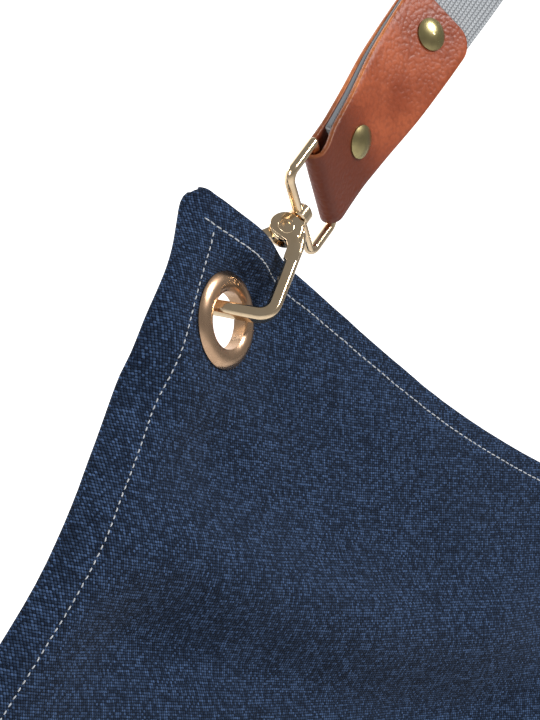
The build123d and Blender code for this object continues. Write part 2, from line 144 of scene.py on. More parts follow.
class Tree:
    """A material's node tree, with short calls for the nodes used here."""

    def __init__(self, name):
        self.material = bpy.data.materials.new(name)
        self.material.use_nodes = True
        self.nodes = self.material.node_tree.nodes
        self.links = self.material.node_tree.links
        self.shader = self.nodes["Principled BSDF"]

    def set(self, **values):
        for key, value in values.items():
            self.shader.inputs[key.replace("_", " ")].default_value = value

    def put(self, socket, value):
        if isinstance(value, bpy.types.NodeSocket):
            self.links.new(value, socket)
        else:
            socket.default_value = value

    def math(self, operation, a, b=0.0):
        node = self.nodes.new("ShaderNodeMath")
        node.operation = operation
        self.put(node.inputs[0], a)
        self.put(node.inputs[1], b)
        return node.outputs[0]

    def coordinates(self, kind):
        return self.nodes.new("ShaderNodeTexCoord").outputs[kind]

    def scaled(self, vector, scale):
        node = self.nodes.new("ShaderNodeMapping")
        self.put(node.inputs["Vector"], vector)
        node.inputs["Scale"].default_value = scale
        return node.outputs[0]

    def noise(self, vector, scale, detail=2.0):
        node = self.nodes.new("ShaderNodeTexNoise")
        self.put(node.inputs["Vector"], vector)
        node.inputs["Scale"].default_value = scale
        node.inputs["Detail"].default_value = detail
        return node.outputs[0]

    def span(self, value, low, high, to_low=0.0, to_high=1.0):
        node = self.nodes.new("ShaderNodeMapRange")
        node.interpolation_type = "SMOOTHSTEP"
        self.put(node.inputs[0], value)
        for index, number in enumerate((low, high, to_low, to_high)):
            node.inputs[index + 1].default_value = number
        return node.outputs[0]

    def mix(self, share, a, b):
        node = self.nodes.new("ShaderNodeMix")
        node.data_type = "RGBA"
        self.put(node.inputs[0], share)
        for socket, colour in ((node.inputs[6], a), (node.inputs[7], b)):
            self.put(socket, colour if isinstance(colour, bpy.types.NodeSocket) else (*colour, 1))
        return node.outputs[2]

    def colour(self, socket):
        self.links.new(socket, self.shader.inputs["Base Color"])

    def rough(self, socket):
        self.links.new(socket, self.shader.inputs["Roughness"])

    def bump(self, height, distance, strength=1.0):
        node = self.nodes.new("ShaderNodeBump")
        node.inputs["Distance"].default_value = distance
        node.inputs["Strength"].default_value = strength
        self.put(node.inputs["Height"], height)
        self.links.new(node.outputs[0], self.shader.inputs["Normal"])


def woven(name, pitch, valley_shade, warp_colour, weft_colour, relief, fleck):
    """Plain weave on the UV map, which is in metres of cloth: yarns over and under, each a bit different, with
    painted shade in the valleys between them.
    """
    tree = Tree(name)
    parts = tree.nodes.new("ShaderNodeSeparateXYZ")
    uv = tree.coordinates("UV")
    wobble = tree.noise(uv, 140.0, 2.0)
    tree.put(parts.inputs[0], uv)
    shift = tree.math("MULTIPLY", tree.math("SUBTRACT", wobble, 0.5), pitch * MM * 0.9)
    across = tree.math("DIVIDE", tree.math("ADD", parts.outputs[0], shift), pitch * MM)
    along = tree.math("DIVIDE", tree.math("SUBTRACT", parts.outputs[1], shift), pitch * MM)
    wave_u = tree.math("SINE", tree.math("MULTIPLY", across, math.pi))
    wave_v = tree.math("SINE", tree.math("MULTIPLY", along, math.pi))
    over_under = tree.math("MULTIPLY", wave_u, wave_v)
    relief_height = tree.math("POWER", tree.math("ABSOLUTE", over_under), 0.55)
    warp_on_top = tree.span(over_under, -0.12, 0.12)
    cell = tree.nodes.new("ShaderNodeCombineXYZ")
    tree.put(cell.inputs[0], tree.math("FLOOR", across))
    tree.put(cell.inputs[1], tree.math("FLOOR", along))
    speck = tree.nodes.new("ShaderNodeTexWhiteNoise")
    speck.noise_dimensions = "2D"
    tree.put(speck.inputs["Vector"], cell.outputs[0])
    speck_light = tree.math("POWER", speck.outputs[0], 1.7)
    warp_slub = tree.noise(tree.scaled(uv, (1.0, 0.06, 1)), 1.1 / (pitch * MM), 1.0)
    weft_slub = tree.noise(tree.scaled(uv, (0.06, 1.0, 1)), 1.1 / (pitch * MM), 1.0)
    slub = tree.math("MULTIPLY", tree.math("ADD", warp_slub, weft_slub), 0.5)
    yarn = tree.mix(warp_on_top, weft_colour, warp_colour)
    light = tree.math("MULTIPLY", speck_light, fleck)
    lit_yarn = tree.mix(light, yarn, tuple(c * 4.2 + 0.016 for c in warp_colour))
    toned = tree.mix(tree.span(slub, 0.24, 0.56), tuple(c * 0.8 for c in weft_colour), lit_yarn)
    in_valley = tree.span(relief_height, 0.15, 0.75)
    # painted shade: where the weave's relief is low, between the yarns, the colour goes to the near-black
    # valley colour
    cloth = tree.mix(in_valley, valley_shade, toned)
    wear = tree.noise(uv, 22.0, 3.0)
    worn = tree.mix(tree.span(wear, 0.3, 0.75, 0.0, 0.07), cloth, tuple(c * 1.5 for c in warp_colour))
    tree.colour(worn)
    fuzz = tree.math("MULTIPLY", tree.noise(uv, 4200.0, 2.0), 0.35)
    tree.bump(tree.math("ADD", relief_height, fuzz), relief * MM, 0.8)
    tree.set(Roughness=0.9, Sheen_Weight=0.04, Sheen_Roughness=0.5, Specular_IOR_Level=0.12)
    return tree.material


def webbing_material():
    """Grey webbing: ribs along the strap with a short slant of yarns on each, and painted shade in the grooves
    between them.
    """
    tree = Tree("webbing_weave")
    parts = tree.nodes.new("ShaderNodeSeparateXYZ")
    uv = tree.coordinates("UV")
    tree.put(parts.inputs[0], uv)
    rib = tree.math("SINE", tree.math("MULTIPLY", parts.outputs[0], math.pi / (1.25 * MM)))
    rib_height = tree.math("POWER", tree.math("ABSOLUTE", rib), 0.5)
    slant = tree.math("ADD", parts.outputs[1], tree.math("MULTIPLY", tree.math("ABSOLUTE", rib), 0.6 * MM))
    yarn = tree.math("ABSOLUTE", tree.math("SINE", tree.math("MULTIPLY", slant, math.pi / (1.0 * MM))))
    height = tree.math("MULTIPLY", rib_height, tree.math("POWER", yarn, 0.4))
    tone = tree.noise(tree.scaled(uv, (1.0, 0.08, 1)), 900.0, 1.0)
    light = tree.mix(tone, (0.40, 0.42, 0.44), (0.56, 0.58, 0.60))
    # painted shade: the low parts between the ribs and yarns are painted dark grey
    tree.colour(tree.mix(tree.span(height, 0.1, 0.8), (0.17, 0.18, 0.195), light))
    tree.bump(height, 0.35 * MM, 0.9)
    tree.set(Roughness=0.85, Sheen_Weight=0.15, Specular_IOR_Level=0.25)
    return tree.material


def distance_from_fold(tree, place):
    """How far up its strap leg a place is from the leather's fold; the right leg is the left one's mirror."""
    parts = tree.nodes.new("ShaderNodeSeparateXYZ")
    tree.put(parts.inputs[0], place)
    outward = tree.math("ADD", tree.math("ABSOLUTE", parts.outputs[0]), FOLD_POINT.x * MM)
    total = tree.math("MULTIPLY", outward, -LEG_UP.x)
    for index in (1, 2):
        off = tree.math("SUBTRACT", parts.outputs[index], FOLD_POINT[index] * MM)
        total = tree.math("ADD", total, tree.math("MULTIPLY", off, LEG_UP[index]))
    return total


def leather_material(name, light, dark, pebble_relief):
    """Waxed leather: pebbled grain and pores, and painted shade darkening it round the fold on the loop."""
    tree = Tree(name)
    place = tree.coordinates("Object")
    cells = tree.nodes.new("ShaderNodeTexVoronoi")
    cells.feature = "SMOOTH_F1"
    tree.put(cells.inputs["Vector"], place)
    cells.inputs["Scale"].default_value = 950.0
    patches = tree.noise(place, 55.0, 3.0)
    pores = tree.noise(place, 3200.0, 2.0)
    base = tree.mix(tree.span(patches, 0.35, 0.68), dark, light)
    # painted shade: the leather is darkened where it turns round the loop's bar, fading out 11 to 24 mm up from
    # the fold
    clear_of_fold_shade = tree.span(distance_from_fold(tree, place), FOLD_SHADE_FULL_TO * MM, FOLD_SHADE_END * MM)
    base = tree.mix(clear_of_fold_shade, tuple(c * 0.5 for c in dark), base)
    grain = tree.span(cells.outputs["Distance"], 0.25, 0.75)
    tree.colour(tree.mix(tree.math("MULTIPLY", grain, 0.35), base, tuple(c * 0.6 for c in dark)))
    height = tree.math("SUBTRACT", tree.math("MULTIPLY", pores, 0.3), grain)
    tree.bump(height, pebble_relief * MM, 0.7)
    tree.rough(tree.span(patches, 0.3, 0.7, 0.36, 0.52))
    tree.set(Coat_Weight=0.04, Coat_Roughness=0.35, Specular_IOR_Level=0.35)
    return tree.material


def metal(name, colour, worn_colour, roughness, scratch=0.02):
    """Plated metal: slightly uneven polish, with faint hairlines."""
    tree = Tree(name)
    place = tree.coordinates("Object")
    patches = tree.noise(place, 160.0, 3.0)
    hairs = tree.noise(tree.scaled(place, (1.0, 1.0, 0.08)), 2600.0, 2.0)
    tree.colour(tree.mix(tree.span(patches, 0.35, 0.8), colour, worn_colour))
    tree.rough(tree.span(patches, 0.3, 0.7, roughness * 0.8, roughness * 1.3))
    tree.bump(hairs, scratch * MM, 0.35)
    tree.set(Metallic=1.0)
    return tree.material


def thread_material():
    tree = Tree("stitch_thread")
    place = tree.coordinates("Object")
    twist = tree.noise(tree.scaled(place, (1, 1, 1.8)), 5200.0, 1.0)
    tree.colour(tree.mix(tree.span(twist, 0.35, 0.65), (0.36, 0.39, 0.43), (0.66, 0.68, 0.70)))
    tree.bump(twist, 0.08 * MM, 0.6)
    tree.set(Roughness=0.7, Sheen_Weight=0.2)
    return tree.material


# The first colour is painted shade for the valleys between the yarns.
DENIM = woven("denim_cloth", YARN_PITCH, (0.0008, 0.0018, 0.0055), (0.0135, 0.0275, 0.060),
              (0.0085, 0.0175, 0.040), 0.34, 0.9)
WEBBING = webbing_material()
LEATHER = leather_material("tan_leather", (0.43, 0.098, 0.034), (0.27, 0.052, 0.018), 0.14)
RAW_EDGE = leather_material("leather_raw_edge", (0.62, 0.20, 0.055), (0.42, 0.115, 0.032), 0.2)
GOLD = metal("pale_gold_plating", (0.84, 0.65, 0.43), (0.76, 0.56, 0.35), 0.12)
ROSE = metal("satin_rose_gold", (0.64, 0.42, 0.27), (0.54, 0.34, 0.21), 0.25, 0.04)
BRASS = metal("antique_brass", (0.44, 0.37, 0.17), (0.25, 0.20, 0.10), 0.27, 0.04)
STEEL = metal("spring_wire", (0.62, 0.60, 0.55), (0.50, 0.48, 0.44), 0.25)
THREAD = thread_material()


# ================================================================ mesh helpers


def make(name, points, faces, materials, body, uvs=None, face_slots=None):
    """Makes a smooth-shaded piece from millimetre points, puts it on its body, and gives it its materials."""
    mesh = bpy.data.meshes.new(name)
    mesh.from_pydata([Vector(p) * MM for p in points], [], faces)
    for material in materials:
        mesh.materials.append(material)
    if face_slots:
        mesh.polygons.foreach_set("material_index", face_slots)
    mesh.polygons.foreach_set("use_smooth", [True] * len(faces))
    if uvs:
        layer = mesh.uv_layers.new(name="cloth")
        for loop in mesh.loops:
            u, v = uvs[loop.vertex_index]
            layer.data[loop.index].uv = (u * MM, v * MM)
    mesh.update()
    piece = bpy.data.objects.new(name, mesh)
    bpy.context.scene.collection.objects.link(piece)
    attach(piece, body)
    return piece


def skin(stations, closed_ring, capped):
    """Faces that join rings of points, all with the same count, one after another."""
    count = len(stations[0])
    points = [p for ring in stations for p in ring]
    faces = []
    for i in range(len(stations) - 1):
        for j in range(count if closed_ring else count - 1):
            k = (j + 1) % count
            faces.append((i * count + j, i * count + k, (i + 1) * count + k, (i + 1) * count + j))
    if capped:
        faces.append(tuple(reversed(range(count))))
        faces.append(tuple((len(stations) - 1) * count + j for j in range(count)))
    return points, faces


def spread(low, high, count):
    return [low + (high - low) * i / count for i in range(count + 1)]


def mirror_points(points):
    return [Vector((-p.x, p.y, p.z)) for p in points]


def mirror_faces(faces):
    return [tuple(reversed(face)) for face in faces]


# ================================================================ the cloth's shape


def smooth(low, high, value):
    share = min(1.0, max(0.0, (value - low) / (high - low)))
    return share * share * (3 - 2 * share)


def side_x(depth):
    """Half the apron's width at a depth below its strap corners."""
    armhole = CORNER_X + (WAIST_X - CORNER_X) * (max(0.0, depth) / WAIST_DEPTH) ** ARMHOLE_POWER
    over = min((armhole - WAIST_X) / WAIST_BLEND, 40)
    return min(armhole, WAIST_X + 40 * WAIST_BLEND) - WAIST_BLEND * math.log(1 + math.exp(over))


def neckline(x):
    return NECKLINE_DEPTH * (1 - min(1, abs(x) / CORNER_X) ** NECKLINE_POWER)


def loose_drape(x, depth):
    x = abs(x)
    inset = side_x(depth) - x
    below_neck = depth - neckline(x)
    ridge = RIDGE_DEPTH * math.exp(-(((inset - RIDGE_INSET) / RIDGE_WIDTH) ** 2))
    swag = 4.5 * math.exp(-(((below_neck - 92) / 24) ** 2)) * (1 - smooth(60, 130, inset - 40))
    fold = (1.5 + 9.5 * smooth(150, APRON_LENGTH, depth)) * math.cos(2 * math.pi * x / FOLD_PITCH)
    return 3.0 - ridge - swag - fold - PLUMB_SHIFT * smooth(180, 520, depth)


def eyelet_hold(x, z):
    """1 where an eyelet clamps the cloth flat, and the flat place there, front to back."""
    holds = []
    for centre, face in EYELETS:
        across = -abs(x) - centre.x
        flat = centre.y - across * face.x / face.y
        holds.append((1 - smooth(13.5, 34.0, math.hypot(across, z - centre.z)), flat))
    return holds


def drape(x, z):
    y = loose_drape(x, CORNER_Z - z)
    for hold, flat in eyelet_hold(x, z):
        y += (flat - y) * hold
    from_dent = math.hypot(-abs(x) - DENT.x, z - DENT.z)
    from_eyelet = math.hypot(-abs(x) - NECK_EYELET.x, z - NECK_EYELET.z)
    return y - DENT_DEPTH * math.exp(-((from_dent / DENT_R) ** 2)) * smooth(13.0, 19.0, from_eyelet)


def creases(x, z, inset, drop):
    """Small unevenness of hanging cloth: undulation, seam pucker, edge curl, pulls below the eyelets."""
    slack = 1.0
    for hold, _ in eyelet_hold(x, z):
        slack *= 1 - hold
    y = EDGE_CURL * math.exp(-max(0, inset) / 5.0) + 0.9 * math.exp(-max(0, drop) / 4.0)
    y += 1.1 * noise.noise(Vector((x / 34, z / 48, 2.0))) * smooth(4, 30, inset)
    y += 0.35 * noise.noise(Vector((x / 11, z / 13, 9.0)))
    pucker = math.exp(-(((inset - 5) / 4.0) ** 2)) * noise.noise(Vector((z / 4.2, x / 30, 4.0)))
    pucker += math.exp(-(((drop - 4) / 4.0) ** 2)) * noise.noise(Vector((x / 4.2, z / 30, 6.0)))
    seam = math.exp(-(((inset - SIDE_STITCH) / 1.3) ** 2)) + math.exp(-(((drop - NECK_STITCH) / 1.3) ** 2))
    y += 0.45 * pucker + 0.22 * seam
    above_swag = z - SWAG_TOP + SWAG_FALL * smooth(-201, -60, -abs(x))
    swag = SWAG_VALLEY * math.exp(-(((above_swag + 11) / 10) ** 2))
    swag -= SWAG_RIDGE * math.exp(-(((above_swag - 14) / 13) ** 2))
    y += swag * smooth(6, 34, inset) * smooth(20, 60, abs(x))
    for centre, _ in EYELETS:
        across, down = -abs(x) - centre.x, centre.z - z
        reach = math.hypot(across, down)
        angle = math.atan2(across, down)
        pull = math.exp(-(((reach - 34) / 20) ** 2)) * smooth(-0.2, 0.6, math.cos(angle))
        y += 0.7 * pull * math.cos(angle * 7 + 0.6)
    return y * slack


def round_corner(inset, drop):
    """Pulls the strap corner in to a round of CORNER_R."""
    u, v = (CORNER_R - inset) / CORNER_R, (CORNER_R - drop) / CORNER_R
    if u <= 0 or v <= 0:
        return inset, drop
    pull = max(u, v) / math.hypot(u, v)
    return CORNER_R * (1 - u * pull), CORNER_R * (1 - v * pull)


def cloth(side, inset, drop, lift=0.0):
    """A point of the cloth: side is -1 or 1, inset from that side edge, drop below the neckline's edge."""
    inset, drop = round_corner(inset, drop)
    half = side_x(drop)
    x = half - inset
    share = max(0.0, min(1.0, drop / APRON_LENGTH))
    z = CORNER_Z - drop - neckline((1 - inset / half) * CORNER_X) * (1 - share) ** 3
    spread_wide = NECK_LIFT_OUT if x > NECK_LIFT_X else NECK_LIFT_IN
    z += NECK_LIFT * math.exp(-(((x - NECK_LIFT_X) / spread_wide) ** 2)) * (1 - smooth(0, 140, drop))
    beside_eyelet = math.exp(-(((z - NECK_EYELET.z - 3) / 13) ** 2))
    x += EDGE_BULGE * beside_eyelet * math.exp(-max(0.0, inset) / 12)
    x -= CORNER_TUCK * math.exp(-max(0.0, drop) / 14 - max(0.0, inset) / 12)
    return Vector((side * x, drape(x, z) + creases(x, z, inset, drop) + lift, z))


def cut_place(point):
    """Where a point of the hung cloth was in the flat cut: the yarns sag between the two strap corners."""
    lean = 1 - 0.00045 * (point.z - NECK_EYELET.z) * math.exp(-abs(point.z - NECK_EYELET.z) / 260)
    return point.x * lean, point.z - 0.000617 * point.x**2 * math.exp(-abs(point.z - NECK_EYELET.z) / 260)


# ================================================================ apron panel


def apron_rows():
    """Depths down the cloth: close together by the neckline, the eyelets and the hem."""
    depths = [0.0]
    while depths[-1] < APRON_LENGTH:
        d = depths[-1]
        near = max(math.exp(-((d / 120) ** 2)), math.exp(-(((d - 292) / 45) ** 2)))
        depths.append(d + 1.9 + 6.5 * (1 - near))
    return [d * APRON_LENGTH / depths[-1] for d in depths]


COLUMN_SHARES = [math.sin(math.pi / 2 * c) for c in spread(-1, 1, 168)]
DEPTHS = apron_rows()


def outside_eyelets(point):
    """False where the cloth is cut away inside an eyelet's barrel."""
    for centre, face in EYELETS:
        off = Vector((-abs(point.x), point.y, point.z)) - centre
        if (off - face * off.dot(face)).length < EYELET_CUT_R:
            return False
    return True


def apron_panel():
    points = []
    for depth in DEPTHS:
        for share in COLUMN_SHARES:
            side = -1 if share < 0 else 1
            points.append(cloth(side, (1 - abs(share)) * side_x(depth), depth))
    uvs = [cut_place(p) for p in points]
    count = len(COLUMN_SHARES)
    faces = []
    for i in range(len(DEPTHS) - 1):
        for j in range(count - 1):
            corners = (i * count + j, (i + 1) * count + j, (i + 1) * count + j + 1, i * count + j + 1)
            if outside_eyelets(sum((points[k] for k in corners), Vector()) / 4):
                faces.append(corners)
    piece = make("apron_cloth", points, faces, [DENIM], "apron", uvs)
    thicken = piece.modifiers.new("cloth thickness", "SOLIDIFY")
    thicken.thickness = CLOTH_T * MM
    thicken.offset = 0
    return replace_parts(piece, "apron_panel")


# A folded hem's section: (inward from the edge, back from the panel's middle)
HEM_SECTION = [
    (1.3, -0.45), (0.3, -0.47), (-0.3, -0.38), (-0.62, -0.05),
    (-0.7, 0.4), (-0.52, 0.9), (0.0, 1.25), (0.9, 1.38),
]


def hem(name, node, width, line):
    """A hem folded to the back: line(place, inward, back) gives its points; place runs along the edge."""
    inner_edge = [(width * 0.5, 1.4), (width - 0.3, 1.4), (width, 1.25), (width, 0.7), (width - 0.3, 0.6)]
    section = HEM_SECTION + inner_edge
    stations = [[line(place, a, b) for a, b in section] for place in line.places]
    points, faces = skin(stations, True, True)
    uvs = [cut_place(p) for p in points]
    piece = make(name, points, faces, [DENIM], "apron", uvs)
    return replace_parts(piece, node)


class SideLine:
    """Places along a side edge, from the strap corner down."""

    places = [d for d in DEPTHS if d > 0.5]

    def __init__(self, side):
        self.side = side

    def __call__(self, depth, inward, back):
        edge = cloth(self.side, max(inward, 0.0), depth, back)
        return edge + Vector((-self.side * min(inward, 0.0), 0, 0))


class NeckLine:
    """Places along the neckline, from the left corner to the right."""

    places = [s * 0.985 for s in COLUMN_SHARES]

    def __call__(self, share, inward, back):
        side = -1 if share < 0 else 1
        edge = cloth(side, (1 - abs(share)) * CORNER_X, max(inward, 0.0), back)
        return edge + Vector((0, 0, -min(inward, 0.0)))


class BottomLine:
    """Places along the bottom edge, from left to right."""

    places = COLUMN_SHARES

    def __call__(self, share, inward, back):
        side = -1 if share < 0 else 1
        edge = cloth(side, (1 - abs(share)) * side_x(APRON_LENGTH), APRON_LENGTH - max(inward, 0.0), back)
        return edge + Vector((0, 0, min(inward, 0.0)))


# ================================================================ stitching


def stitch_run(line, inward, pitch, length, start=0, end=None, front=-0.42):
    """Thread showing on the cloth's front along a hem: a list of (start, end) points on the surface."""
    route = [line(place, inward, front) for place in line.places[start:end]]
    runs, walked, target = [], 0.0, pitch
    for a, b in zip(route, route[1:]):
        step = (b - a).length
        while walked + step > target:
            at = a.lerp(b, (target - walked) / step)
            along = (b - a).normalized()
            runs.append((at - along * length / 2, at + along * length / 2))
            target += pitch * random.uniform(0.95, 1.05)
        walked += step
    return runs


def thread_piece(name, runs):
    """One mesh of all the stitches: each a short soft tube that dives into the cloth at both ends."""
    points, faces = [], []
    for a, b in runs:
        along = (b - a).normalized()
        side = along.cross(Vector((0, 1, 0))).normalized()
        out = side.cross(along).normalized()
        if out.y > 0:
            out = -out
        sway = random.uniform(-0.12, 0.12)
        rings = []
        for share, rise, radius in STITCH_FORM:
            centre = a.lerp(b, share) + out * rise + side * sway * (share - 0.5) * 2
            round_it = [side * math.cos(t) + out * math.sin(t) for t in spread(0, 2 * math.pi, 6)[:-1]]
            rings.append([centre + direction * radius for direction in round_it])
        ring_points, ring_faces = skin(rings, True, True)
        base = len(points)
        points += ring_points
        faces += [tuple(base + k for k in face) for face in ring_faces]
    return make(name, points, faces, [THREAD], "apron")


# ================================================================ pocket


def pocket_point(x, share):
    z = CORNER_Z - POCKET_TOP - (POCKET_BOTTOM - POCKET_TOP) * share
    belly = POCKET_BELLY * math.sin(math.pi * abs(x) / POCKET_HALF_WIDTH) ** 2 * math.cos(math.pi / 2 * share)
    crease = 0.35 * noise.noise(Vector((x / 12, z / 12, 30.0)))
    hem_step = -0.7 * (1 - smooth(14, 15.5, share * (POCKET_BOTTOM - POCKET_TOP)))
    edge = smooth(0, 3, POCKET_HALF_WIDTH - abs(x))
    cloth_front = drape(x, z) + creases(x, z, side_x(CORNER_Z - z) - abs(x), 200.0) - CLOTH_T / 2
    return Vector((x, cloth_front - 0.55 - belly + (crease + hem_step) * edge, z))


def front_pocket():
    columns, rows = spread(-POCKET_HALF_WIDTH, POCKET_HALF_WIDTH, 100), spread(0, 1, 70)
    stations = [[pocket_point(x, share) for x in columns] for share in rows]
    points, faces = skin(stations, False, False)
    uvs = [cut_place(p) for p in points]
    piece = make("pocket_cloth", points, mirror_faces(faces), [DENIM], "apron", uvs)
    thicken = piece.modifiers.new("cloth thickness", "SOLIDIFY")
    thicken.thickness = CLOTH_T * MM
    thicken.offset = 0
    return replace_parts(piece, "front_pocket")


class PocketLine:
    """Places along a pocket seam, given by a function of (place, inward)."""

    def __init__(self, places, at):
        self.places = places
        self.at = at

    def __call__(self, place, inward, back):
        return self.at(place, inward) + Vector((0, back, 0))


POCKET_DEEP = POCKET_BOTTOM - POCKET_TOP
POCKET_SEAMS = [
    PocketLine(spread(0, 1, 70), lambda s, a: pocket_point(-POCKET_HALF_WIDTH + a, s)),
    PocketLine(spread(0, 1, 70), lambda s, a: pocket_point(POCKET_HALF_WIDTH - a, s)),
    PocketLine(spread(-148, 148, 100), lambda x, a: pocket_point(x, 1 - a / POCKET_DEEP)),
    PocketLine(spread(0, 1, 70), lambda s, a: pocket_point(a - 3, s)),
    PocketLine(spread(-147, 147, 100), lambda x, a: pocket_point(x, (a + 10) / POCKET_DEEP)),
]


# ================================================================ strap


def leg_turn(distance):
    for (d0, a0), (d1, a1) in zip(LEG_TWIST, LEG_TWIST[1:]):
        if distance <= d1:
            return a0 + (a1 - a0) * (distance - d0) / (d1 - d0)
    return LEG_TWIST[-1][1]


def leg_frame(distance):
    """Centre, direction across, and direction out of the front face, on the left leg."""
    turn = math.radians(sum(leg_turn(distance + step) for step in (-4, -2, 0, 2, 4)) / 5)
    face = Vector((-LEG_UP.z, 0, LEG_UP.x)) * math.cos(turn) + Vector((0, -1, 0)) * math.sin(turn)
    across = face.cross(LEG_UP)
    fold = 1 - smooth(0, 9, distance)
    across = across.lerp(-FOLD_BAR_DIR, fold).normalized()
    up = (LEG_UP - across * LEG_UP.dot(across)).normalized()
    return FOLD_POINT + LEG_UP * distance, across, up.cross(across).normalized()


def band_ring(centre, across, out, half_width, thickness, count):
    """A flat band's section: a rounded edge each side, count points across each face."""
    lip = min(0.3, thickness / 3)
    front = spread(-half_width + lip, half_width - lip, count)
    ring = [centre + across * x + out * thickness / 2 for x in front]
    ring += [centre + across * half_width + out * y for y in (thickness / 2 - lip, -thickness / 2 + lip)]
    ring += [centre + across * x - out * thickness / 2 for x in reversed(front)]
    ring += [centre - across * half_width + out * y for y in (-thickness / 2 + lip, thickness / 2 - lip)]
    return ring


def neck_webbing():
    stations = []
    for distance in spread(TAB_GRIP_FROM, LEG_LENGTH, 110):
        stations.append(leg_frame(distance))
    arc_end = math.atan2(LEG_UP.x, LEG_UP.z)
    arc = []
    for angle in spread(math.pi - arc_end, arc_end, 24)[1:-1]:
        out = Vector((math.cos(angle), 0, math.sin(angle)))
        arc.append((Vector((0, 0, -PEG_R)) + out * (PEG_R + WEBBING_T / 2), Vector((0, 1, 0)), out))
    right = [mirror_points(station) for station in reversed(stations)]
    rings, uvs, walked, last = [], [], 0.0, None
    for centre, across, out in stations + arc + right:
        walked += (centre - last).length if last else 0.0
        last = centre
        ring = band_ring(centre, across, out, WEBBING_WIDTH / 2, WEBBING_T, 12)
        rings.append(ring)
        uvs += [((p - centre).dot(across), walked) for p in ring]
    points, faces = skin(rings, True, True)
    piece = make("strap_webbing", points, faces, [WEBBING], "strap", uvs)
    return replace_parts(piece, "neck_webbing"), walked


def tab_stations():
    """The leather's way: down its front layer, round the loop's bar, up its back layer."""
    reach = [TAB_LENGTH - TAB_END_R + TAB_END_R * math.sin(t) for t in spread(math.pi / 2, 0, 8)]
    reach += spread(TAB_LENGTH - TAB_END_R, 0, 40)[1:]
    front, back = [], []
    for d in reach:
        centre, across, out = leg_frame(d)
        over = max(0.0, d - (TAB_LENGTH - TAB_END_R))
        half = TAB_WIDTH / 2 - TAB_END_R + math.sqrt(max(0.0, TAB_END_R**2 - over**2))
        inner = FOLD_INNER_R + (TAB_GAP - FOLD_INNER_R) * smooth(0, TAB_GRIP_FROM + 3, d)
        wave = 0.22 * noise.noise(Vector((d / 13, 1.0, 5.0)))
        lift = inner + LEATHER_T / 2 + max(0.0, wave)
        front.append((centre + out * lift, across, out, half))
        back.append((centre - out * lift, across, -out, half))
    centre, across, out = leg_frame(0)
    up = across.cross(out).normalized()
    if up.dot(LEG_UP) < 0:
        up = -up
    bend = []
    for angle in spread(0, math.pi, 14)[1:-1]:
        turned = out * math.cos(angle) - up * math.sin(angle)
        bend.append((centre + turned * (FOLD_INNER_R + LEATHER_T / 2), across, turned, TAB_WIDTH / 2))
    return front + bend + list(reversed(back))


def leather_tab(side):
    count = 14
    rings = [band_ring(c, a, o, half, LEATHER_T, count) for c, a, o, half in tab_stations()]
    points, faces = skin(rings, True, True)
    ring_size = len(rings[0])
    edge_from, edge_to = count, count + 3
    face_slots = []
    for index in range(len(faces) - 2):
        j = index % ring_size
        raw = edge_from <= j < edge_to or j >= ring_size - 3
        face_slots.append(1 if raw else 0)
    face_slots += [1, 1]
    if side == "right":
        points, faces = mirror_points(points), mirror_faces(faces)
    materials = [LEATHER, RAW_EDGE]
    piece = make(f"tab_leather_{side}", points, faces, materials, "strap", None, face_slots)
    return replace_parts(piece, f"leather_tab_{side}")


# ================================================================ snap hook


HOOK_AXIS = Vector((0.6851, 0.0608, 0.7259)).normalized()
HOOK_FACE = Vector((-0.410, -0.791, 0.453)).normalized()
HOOK_ACROSS = HOOK_AXIS.cross(HOOK_FACE)
BOSS_POINT = FOLD_POINT - HOOK_AXIS * 13.0
HOOK_LINE = [(2.9, -5.2), (4.4, -8.5), (9.4, -31.0), (-5.9, -37.65)]
HOOK_ROUNDS = [3.0, 4.6]
BAR_HALF_WIDTH = 1.9
BAR_HALF_DEPTH = 1.95
BAR_FACET = 0.8
PIVOT = Vector((-0.8, -6.2))
PLATE_R = 4.5
# The plate's edge below its round part, from the gate's side down to the spine and up the spine's outer edge
PLATE_LOWER_EDGE = [
    (-2.6, -9.6), (-0.2, -9.9), (1.6, -10.1), (2.6, -11.0), (3.4, -14.5), (7.5, -15.4), (6.1, -9.6),
]
# (height over the hook's middle plane, how far the rim is drawn in)
PLATE_RIM = [(0.9, 0.25), (1.1, 0.0), (2.15, 0.0), (2.42, 0.18), (2.5, 0.5)]
PLATE_SINK = 0.75
PLATE_LOWEST = 0.8
ARC_STEPS = 9


def in_hook(g, h, out):
    """A point from the hook's own plane: across towards the spine, up the swivel axis, out of its face."""
    return BOSS_POINT + HOOK_ACROSS * g + HOOK_AXIS * h + HOOK_FACE * out


def rounded_line(corners, radii):
    """A line through corners, with each inner corner turned by an arc."""
    line = [Vector(corners[0])]
    for before, corner, after, radius in zip(corners, corners[1:], corners[2:], radii):
        corner = Vector(corner)
        back, ahead = (Vector(before) - corner).normalized(), (Vector(after) - corner).normalized()
        half = back.angle(ahead) / 2
        reach = radius / math.tan(half)
        centre = corner + (back + ahead).normalized() * (radius / math.sin(half))
        first, last = corner + back * reach - centre, corner + ahead * reach - centre
        turn = first.angle(last)
        for share in spread(0, 1, ARC_STEPS):
            spoke = first * math.sin((1 - share) * turn) + last * math.sin(share * turn)
            line.append(centre + spoke / math.sin(turn))
    return line + [Vector(corners[-1])]


def hook_bar():
    """The faceted bar of the spine and bow, as rings of eight points."""
    line = rounded_line(HOOK_LINE, HOOK_ROUNDS)
    w, d, c = BAR_HALF_WIDTH, BAR_HALF_DEPTH, BAR_FACET
    section = [(w, c - d), (w, d - c), (w - c, d), (c - w, d)]
    section += [(-a, -b) for a, b in section]
    rings = []
    for i, at in enumerate(line):
        along = (line[min(i + 1, len(line) - 1)] - line[max(i - 1, 0)]).normalized()
        out = Vector((-along.y, along.x))
        rings.append([in_hook(*(at + out * a), b) for a, b in section])
    return skin(rings, True, True)


